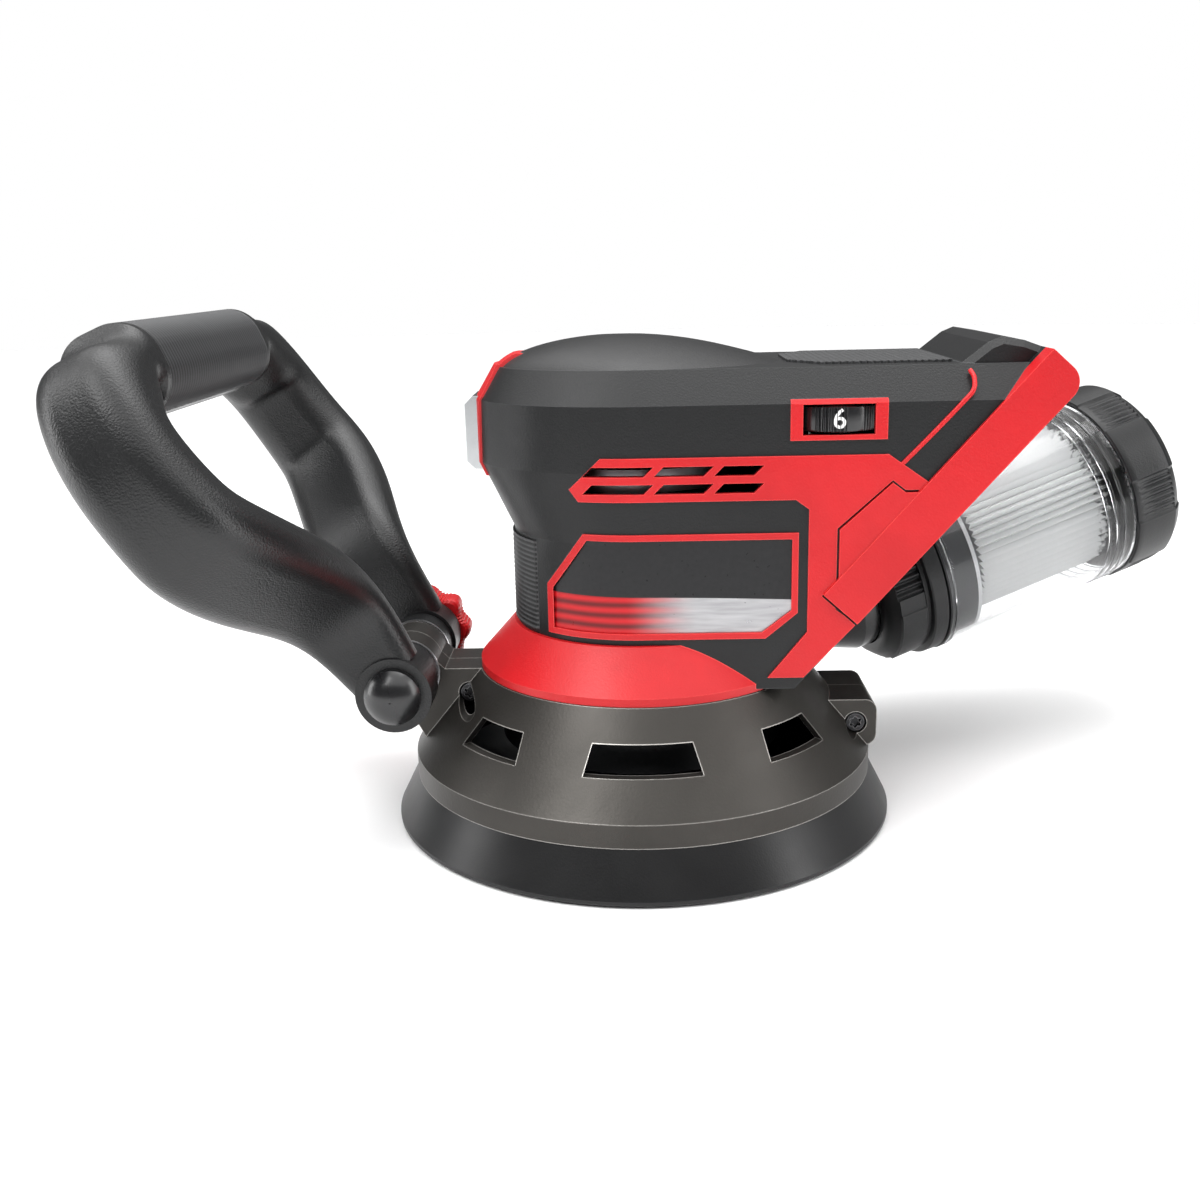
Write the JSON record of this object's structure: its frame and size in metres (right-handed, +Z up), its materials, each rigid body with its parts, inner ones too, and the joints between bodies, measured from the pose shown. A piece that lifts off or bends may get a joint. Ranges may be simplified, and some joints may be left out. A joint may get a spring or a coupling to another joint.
{
  "type": "cordless random orbital sander",
  "caption": "Cordless random orbital sander with a large round pad, dust skirt, pivoting front loop handle, rear battery dock and clear dust canister.",
  "frame": {"origin": "on the motor axis, in the plane of the pad's sanding face", "axes": "+Z up along the motor axis, -X to the front where the handle is, +X to the battery dock, +Y to the side the dust canister is on"},
  "size_m": [0.3713, 0.2274, 0.168],
  "materials": {
    "dark_plastic": "fine texture",
    "red_plastic": "satin",
    "label_black": "gloss",
    "soft_rubber": "ribbed",
    "skirt_rubber": "satin",
    "chrome_trim": "polished",
    "gloss_black": "gloss",
    "shroud_metal": "satin",
    "black_screw": "black oxide",
    "steel": "machined",
    "bearing_steel": "ground",
    "laminations": "stamped",
    "copper": "enamelled",
    "cast_metal": "cast",
    "fan_plastic": "moulded",
    "foam": "foam",
    "hook_face": "hooked",
    "clear_plastic": "clear",
    "filter_paper": "pleated",
    "seal_rubber": "smooth",
    "circuit_board": "soldered",
    "contact_metal": "plated"
  },
  "bodies": {
    "tool": {"housing_near": "dark_plastic", "housing_far": "dark_plastic", "side_frames": "red_plastic", "label_frames": "red_plastic", "label_plates": "label_black", "dial_bezel": "red_plastic", "switch_trim": "red_plastic", "switch_bezel": "chrome_trim", "top_grip": "soft_rubber", "neck_grip": "soft_rubber", "collar": "red_plastic", "dock_tray": "dark_plastic", "dock_cheeks": "red_plastic", "battery_rails": "dark_plastic", "terminal_block": "gloss_black", "battery_terminals": "contact_metal", "switch_block": "gloss_black", "dial_potentiometer": "gloss_black", "controller_board": "circuit_board", "housing_screws": "black_screw", "stator": "laminations", "stator_windings": "copper", "motor_plate": "cast_metal", "lower_bearing": "bearing_steel", "upper_bracket": "cast_metal", "upper_bearing": "bearing_steel", "dust_chamber": "fan_plastic", "dust_port": "dark_plastic", "shroud_near": "shroud_metal", "shroud_far": "shroud_metal", "shroud_screws": "black_screw", "skirt": "skirt_rubber"},
    "rotor": {"motor_shaft": "steel", "magnet_rotor": "steel", "cooling_fan": "fan_plastic", "dust_fan": "fan_plastic", "eccentric": "cast_metal"},
    "pad": {"pad_hook_face": "hook_face", "pad_foam": "foam", "pad_plate": "fan_plastic", "pad_screws": "black_screw", "pad_bearing": "bearing_steel"},
    "handle": {"handle_upper_shell": "dark_plastic", "handle_lower_shell": "dark_plastic", "grip_rubber_rear": "soft_rubber", "grip_rubber_front": "soft_rubber", "pivot_washers": "steel", "pivot_bolt": "steel", "pivot_cap": "gloss_black"},
    "clamp_knob": {"clamp_knob": "red_plastic"},
    "rocker": {"rocker_switch": "gloss_black"},
    "dial": {"dial_wheel": "dark_plastic"},
    "canister": {"canister_coupling": "dark_plastic", "canister_tube": "clear_plastic", "canister_adapter": "fan_plastic", "coupling_seal": "seal_rubber"},
    "cap": {"end_cap": "dark_plastic", "pleated_filter": "filter_paper", "filter_cage": "fan_plastic", "cap_seal": "seal_rubber"}
  },
  "joints": [
    {"name": "motor_spin", "type": "hinge", "parent": "tool", "child": "rotor", "pos_m": [0, 0, 0.08], "axis": [0, 0, 1], "continuous": true},
    {"name": "pad_spin", "type": "hinge", "parent": "rotor", "child": "pad", "pos_m": [0.00125, 0, 0.017], "axis": [0, 0, 1], "continuous": true},
    {"name": "handle_tilt", "type": "hinge", "parent": "tool", "child": "handle", "pos_m": [-0.0785, 0, 0.05], "axis": [0, 1, 0], "range_deg": [-60, 25]},
    {"name": "knob_turn", "type": "hinge", "parent": "handle", "child": "clamp_knob", "pos_m": [-0.0785, 0.045, 0.05], "axis": [0, 1, 0], "range_deg": [0, 270]},
    {"name": "switch_rock", "type": "hinge", "parent": "tool", "child": "rocker", "pos_m": [-0.0485, 0, 0.12925], "axis": [0, -1, 0], "range_deg": [0, 12]},
    {"name": "dial_turn", "type": "hinge", "parent": "tool", "child": "dial", "pos_m": [0.0593, -0.0266, 0.1352], "axis": [0, 0, 1], "range_deg": [-270, 0]},
    {"name": "canister_pull", "type": "slide", "parent": "tool", "child": "canister", "axis": [0.9154, 0.2851, 0.284], "range_m": [0, 0.03]},
    {"name": "cap_pull", "type": "slide", "parent": "canister", "child": "cap", "axis": [0.9154, 0.2851, 0.284], "range_m": [0, 0.065]}
  ]
}
